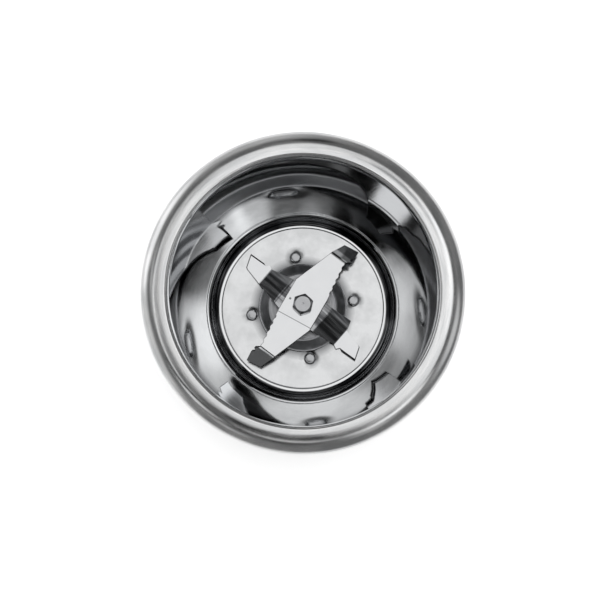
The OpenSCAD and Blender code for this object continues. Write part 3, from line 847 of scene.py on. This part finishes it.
def strip_line(level, legs, steps=6):
    """The middle of a bent strip from the axis outwards: (distance, height) points."""
    x, z, heading = 0.0, level, 0.0
    points = [(x, z)]
    for length, turn in legs:
        x += length * cos(radians(heading))
        z += length * sin(radians(heading))
        points.append((x, z))
        if turn:
            side = 1 if turn > 0 else -1
            cx = x - side * BEND_R * sin(radians(heading))
            cz = z + side * BEND_R * cos(radians(heading))
            for i in range(1, steps + 1):
                a = heading + turn * i / steps
                points.append((cx + side * BEND_R * sin(radians(a)),
                               cz - side * BEND_R * cos(radians(a))))
            x, z = points[-1]
            heading += turn
    return points


def height_at(points, distance):
    for (x0, z0), (x1, z1) in zip(points, points[1:]):
        if distance <= x1 + 1e-9:
            return z0 + (z1 - z0) * (distance - x0) / (x1 - x0)
    return points[-1][1]


def grind(obj, a, b, width):
    """Grind a slope on the upper edge between two points of the outline, on both halves."""
    bpy.ops.mesh.select_mode(type="EDGE")
    bpy.ops.mesh.select_all(action="DESELECT")
    bpy.ops.object.mode_set(mode="OBJECT")
    a, b = Vector(a) * MM, Vector(b) * MM
    along = (b - a).normalized()
    level = sum((v.co.z for v in obj.data.vertices if abs(v.co.x) > a.x), 0.0)
    level /= sum(1 for v in obj.data.vertices if abs(v.co.x) > a.x)

    def on_edge(vertex):
        flat = Vector((vertex.co.x, vertex.co.y)) * (1 if vertex.co.x > 0 else -1)
        run = (flat - a).dot(along)
        off = abs((flat - a).dot(Vector((-along.y, along.x))))
        return off < 0.05 * MM and -0.05 * MM < run < (b - a).length + 0.05 * MM

    for edge in obj.data.edges:
        ends = [obj.data.vertices[v] for v in edge.vertices]
        edge.select = all(on_edge(v) and v.co.z > level for v in ends)
    bpy.ops.object.mode_set(mode="EDIT")
    bpy.ops.mesh.bevel(offset=width * MM, segments=1, affect="EDGES")
    bpy.ops.mesh.select_mode(type="VERT")


def make_blade(name, half, other_half, level, legs, az, materials, node, ground=()):
    """A stamped outline, bent along straight lines, then given its thickness and edges."""
    outline = [(x, y, 0) for x, y in half] + [(-x, -y, 0) for x, y in other_half]
    obj = drawn_line(name, outline)
    bpy.ops.mesh.select_all(action="SELECT")
    bpy.ops.mesh.edge_face_add()
    bends = strip_line(level, legs)
    cuts = [p[0] for p in bends[1:-1]]
    for cut in [0.0] + cuts + [-c for c in cuts]:
        bpy.ops.mesh.select_all(action="SELECT")
        bpy.ops.mesh.bisect(plane_co=(cut * MM, 0, 0), plane_no=(1, 0, 0))
    bpy.ops.object.mode_set(mode="OBJECT")
    for vertex in obj.data.vertices:
        vertex.co.z = height_at(bends, abs(vertex.co.x) / MM) * MM
    apply_modifier(obj, "SOLIDIFY", thickness=BLADE_T * MM, offset=0.0, use_even_offset=True)
    edit(obj)
    bpy.ops.mesh.normals_make_consistent(inside=False)
    for edge in ground:
        grind(obj, *edge)
    bpy.ops.object.mode_set(mode="OBJECT")
    apply_modifier(obj, "BEVEL", width=0.2 * MM, segments=2, limit_method="ANGLE",
                   angle_limit=radians(50))

    def choose(face):
        end = abs(face.center.x) > 35 * MM and abs(face.normal.x) > 0.7
        return 1 if end or abs(face.normal.y) > 0.3 else 0

    paint(obj, materials, choose)
    obj.data.transform(Matrix.Rotation(radians(az), 4, "Z"))
    true_flats(obj)
    put(obj, "rotor", "blade_steel", node)
    return obj


def toothed_edge(a, b, shares, offset, radius):
    """Points from a to b with round scallops cut in between."""
    a, b, offset = Vector(a), Vector(b), Vector(offset)
    run = b - a
    along = run.normalized()
    inward = Vector((-along.y, along.x))
    points = [a]
    for share in shares:
        centre = a + run * share + offset
        deep = (centre - a).dot(inward)
        reach = (radius ** 2 - deep ** 2) ** 0.5
        enter = -along * reach - inward * deep
        leave = along * reach - inward * deep
        first = degrees(atan2(enter.y, enter.x))
        last = degrees(atan2(leave.y, leave.x))
        if last > first:
            last -= 360
        points += [Vector(p) for p in arc(centre, radius, first, last, 9)]
    return [tuple(p) for p in points + [b]]


def upper_blade(materials):
    crease, bend, reach, lift, drop = 8.8, 31.2, 40.6, 1.5, 7.0
    turn = lift + degrees(atan(drop / (reach - bend)))
    wing = (bend - crease) / cos(radians(lift))
    legs = [(crease - take(lift), lift), (wing - take(lift) - take(turn), -turn),
            (hypot(drop, reach - bend) + 2, 0)]
    half = [(-crease, -11.1)]
    half += toothed_edge((9.6, -8.9), (bend, -4.7), [0.18 + 0.17 * i for i in range(5)],
                         (0.6, -1.3), 1.9)
    half += [(bend + 1.7, -7.0), (bend + 2.8, -5.5), (reach - 5.2, -7.2), (reach, -6.5),
             (reach - 1.5, 1.8), (bend, 4.7)]
    return make_blade("top_blade", half, half, UPPER_TOP - BLADE_T / 2, legs, UPPER_AZ, materials,
                      "upper_blade")


def lower_blade(materials):
    hub, bend, reach, clearance = 12.4, 25.7, 40.1, 2.0
    drop = LOWER_TOP - FLOOR_Z - clearance - BLADE_T
    turn = degrees(atan(drop / (bend - hub)))
    sag = 2.5  # the tips droop a little
    legs = [(hub - take(turn), -turn), (hypot(drop, bend - hub) - 2 * take(turn), turn - sag),
            (reach - bend + 1, 0)]
    half = [(hub, -7.2), (bend, -4.3), (bend + 2.4, -5.4), (bend + 3.8, -3.5),
            (bend + 5.6, -4.3), (reach, -3.5), (reach - 3, 3.8)]
    shoulder = [(bend - 0.13, 6.01), (bend - 1.8, 11.2), (11.12, 8.91)]
    root = (9.2, 9.3)
    return make_blade("bottom_blade", half + [(bend - 0.6, 6.1), root], half + shoulder + [root],
                      LOWER_TOP - BLADE_T / 2, legs, LOWER_AZ, materials, "lower_blade",
                      ground=[((bend + 5.6, -4.3), (reach, -3.5), 0.8),
                              ((reach, -3.5), (reach - 3, 3.8), 0.5),
                              ((reach - 3, 3.8), (bend + 2, 5.6), 0.5)])


# ---------------------------------------------------------------- world, floor, camera

def make_world():
    """A studio: bright ceiling, dark walls, a panel on the right and a low one on the left."""
    world = bpy.data.worlds.new("studio")
    bpy.context.scene.world = world
    world.use_nodes = True
    tree = world.node_tree
    tree.nodes.clear()
    direction = add_node(tree, "ShaderNodeTexCoord").outputs["Generated"]
    height = add_node(tree, "ShaderNodeSeparateXYZ", {0: direction}).outputs["Z"]
    ceiling = add_node(tree, "ShaderNodeValToRGB", {"Fac": height})
    ramp = ceiling.color_ramp
    stops = [(0.0, 0.17), (0.5, 0.16), (0.835, 0.12), (0.862, 0.45), (0.885, 0.96), (1.0, 1.0)]
    ramp.elements[0].position, ramp.elements[1].position = stops[0][0], stops[-1][0]
    for position, _ in stops[1:-1]:
        ramp.elements.new(position)
    for element, (_, value) in zip(ramp.elements, stops):
        element.color = (value, value, value, 1)
    light = ceiling.outputs[0]

    def panel(total, az, from_vertical, edge, soft, value):
        aim = Vector((sin(radians(from_vertical)) * cos(radians(az)),
                      sin(radians(from_vertical)) * sin(radians(az)),
                      cos(radians(from_vertical))))
        near = add_node(tree, "ShaderNodeVectorMath", {0: direction, 1: aim},
                        operation="DOT_PRODUCT").outputs["Value"]
        share = add_node(tree, "ShaderNodeMapRange", {
            "Value": near, "From Min": cos(radians(edge + soft)),
            "From Max": cos(radians(edge)), "To Min": 0.0, "To Max": value},
            interpolation_type="SMOOTHSTEP").outputs[0]
        return add_node(tree, "ShaderNodeVectorMath", {0: total, 1: share},
                        operation="ADD").outputs[0]

    for settings in PANELS:
        light = panel(light, *settings)
    below = remap(tree, height, -0.06, 0.0, 0.15, 0.0)
    light = add_node(tree, "ShaderNodeVectorMath", {0: light, 1: below},
                     operation="ADD").outputs[0]
    light = add_node(tree, "ShaderNodeVectorMath", {0: light, 1: (0, 0, 0)},
                     operation="MAXIMUM").outputs[0]
    scene = add_node(tree, "ShaderNodeBackground", {"Color": light, "Strength": 1.0}).outputs[0]
    white = add_node(tree, "ShaderNodeBackground", {
        "Color": (1, 1, 1, 1), "Strength": 1.0}).outputs[0]
    is_camera = add_node(tree, "ShaderNodeLightPath").outputs["Is Camera Ray"]
    mixed = add_node(tree, "ShaderNodeMixShader", {0: is_camera, 1: scene, 2: white}).outputs[0]
    add_node(tree, "ShaderNodeOutputWorld", {"Surface": mixed})


# azimuth, angle from vertical, radius, softness, brightness
PANELS = [
    (30, 26, 5, 6, 0.5),
    (175, 30, 5, 4, 0.3),
    (305, 35, 4, 5, 0.7),
    (322, 37, 5, 4, 0.9),
    (265, 30, 3, 3, 0.3),
    (350, 62, 8, 10, 0.45),
    (303, 49, 5, 6, 0.25),
    (265, 41, 5, 4, -0.1),
    (88, 52, 5, 6, -0.12),
    (165, 43, 3, 5, 0.4),
    (237, 57, 4, 4, 0.35),
    (298, 20, 8, 3, -0.8),
    (272, 25, 3, 3, -0.7),
    (150, 84, 12, 16, 0.9),
    (190, 86, 14, 18, 0.45),
    (105, 90, 14, 20, 0.25),
    (225, 35, 9, 6, -1.0),
    (219, 40, 5, 3, 1.9),
    (255, 12, 8, 3, -0.9),
    (235, 17, 8, 4, -0.75),
    (180, 16, 8, 3, -0.7),
    (345, 33, 3, 3, -0.6),
    (0, 30, 3, 4, -0.4),
    (130, 23, 3, 5, -0.7),
    (62, 20, 3, 4, -0.8),
]


def make_floor():
    """A plain pale table that keeps the jar's faint shadow."""
    material, tree = new_material("pale_table")
    matt = add_node(tree, "ShaderNodeBsdfDiffuse", {"Color": colour("#F7F7F7")}).outputs[0]
    glow = add_node(tree, "ShaderNodeEmission", {"Color": (1, 1, 1, 1),
                                                 "Strength": 0.55}).outputs[0]
    path = add_node(tree, "ShaderNodeLightPath")
    seen = math(tree, "MAXIMUM", path.outputs["Is Camera Ray"],
                math(tree, "MULTIPLY", path.outputs["Is Glossy Ray"], 0.2))
    dark = add_node(tree, "ShaderNodeEmission", {"Color": (0, 0, 0, 1)}).outputs[0]
    lit = add_node(tree, "ShaderNodeMixShader", {0: seen, 1: dark, 2: glow}).outputs[0]
    total = add_node(tree, "ShaderNodeAddShader", {0: matt, 1: lit}).outputs[0]
    finish_material(tree, total)
    deselect()
    bpy.ops.mesh.primitive_circle_add(vertices=96, radius=2.5, fill_type="NGON",
                                      location=(0, 0, 0))
    obj = bpy.context.object
    obj.name = "table"
    paint(obj, [material])


def make_light(name, location, size, power):
    deselect()
    bpy.ops.object.light_add(type="AREA", location=location)
    lamp = bpy.context.object
    lamp.name = name
    lamp.data.shape = "DISK"
    lamp.data.size = size
    lamp.data.energy = power
    lamp.rotation_euler = (-Vector(location)).to_track_quat("-Z", "Y").to_euler()
    lamp.visible_glossy = False
    return lamp


def make_camera():
    deselect()
    bpy.ops.object.camera_add(location=(-0.0015, -0.082, 0.8365),
                              rotation=(radians(6.15), 0, 0))
    camera = bpy.context.object
    camera.name = "camera"
    camera.data.sensor_width = 36
    camera.data.lens = 89.4
    camera.data.clip_start = 0.01
    bpy.context.scene.camera = camera


# ---------------------------------------------------------------- assembly

def main():
    scene = bpy.context.scene
    scene.view_settings.view_transform = "Standard"
    make_camera()
    make_world()
    make_floor()
    make_light("overhead", (0.1, 0.15, 1.6), 1.2, 14)

    plated = plated_fastener_steel()
    rubber = nitrile_rubber()
    brass = turned_brass()
    bronze = sintered_bronze()
    white = acetal()
    alloy = turned_steel("turned_alloy", "#D6D8DA", 0.2, 0.3)
    shaft = turned_steel("ground_shaft_steel", "#C8CACC", 0.16, 0.24, 0.12)

    make_bowl(mirror_polished_steel(), satin_floor_steel(), brushed_rim_steel(),
              brushed_outside_steel(), spun_boss_steel(), painted_shade_corner_steel())
    make_rivets(plated)
    make_bolt(plated)
    edge = sheared_edge_painted_dark()
    upper_blade([ground_blade_steel(UPPER_AZ, "ground_blade_steel", crease=(8.3, -9.1)), edge])
    lower_blade([ground_blade_steel(LOWER_AZ, "ground_arm_steel", arms=25.3), edge])

    copies = [
        ("base_housing", "moulded_base", "jar", "base_plastic", moulded_abs(), 0.25),
        ("base_gasket", "floor_gasket", "jar", "seal_rubber", rubber, 0.1),
        ("rivet_washers", "washers_at_rivets", "jar", "fastener_steel", plated, 0.08),
        ("bearing_housing", "turned_housing", "jar", "housing_alloy", alloy, 0.12),
        ("flange_gasket", "flange_ring", "jar", "seal_rubber", rubber, 0.08),
        ("housing_nut", "brass_nut", "jar", "brass", brass, 0.25),
        ("housing_nut_washer", "nut_washer", "jar", "fastener_steel", plated, 0.12),
        ("upper_bush", "bush_above", "jar", "bronze", bronze, 0.1),
        ("oil_felt", "felt_ring", "jar", "felt", wool_felt(), 0.1),
        ("lower_bush", "bush_below", "jar", "bronze", bronze, 0.1),
        ("shaft_seal", "lip_seal", "jar", "seal_rubber", rubber, 0.08),
        ("spindle", "blade_shaft", "rotor", "shaft_steel", shaft, 0.08),
        ("upper_thrust_washer", "thrust_ring_above", "rotor", "washer_plastic", white, 0.08),
        ("lower_thrust_washer", "thrust_ring_below", "rotor", "washer_plastic", white, 0.08),
        ("retaining_clip", "snap_ring", "rotor", "fastener_steel", plated, 0.08),
        ("blade_spacer", "spacer_ring", "rotor", "fastener_steel", plated, 0.1),
        ("coupler", "drive_star", "rotor", "coupler_plastic", moulded_nylon(), 0.3),
        ("coupler_insert", "brass_insert", "rotor", "brass", brass, 0.15),
    ]
    for node, name, body, slot, material, bevel in copies:
        obj = clean_copy(node, name, bevel)
        paint(obj, [material])
        put(obj, body, slot, node)


main()
deselect()
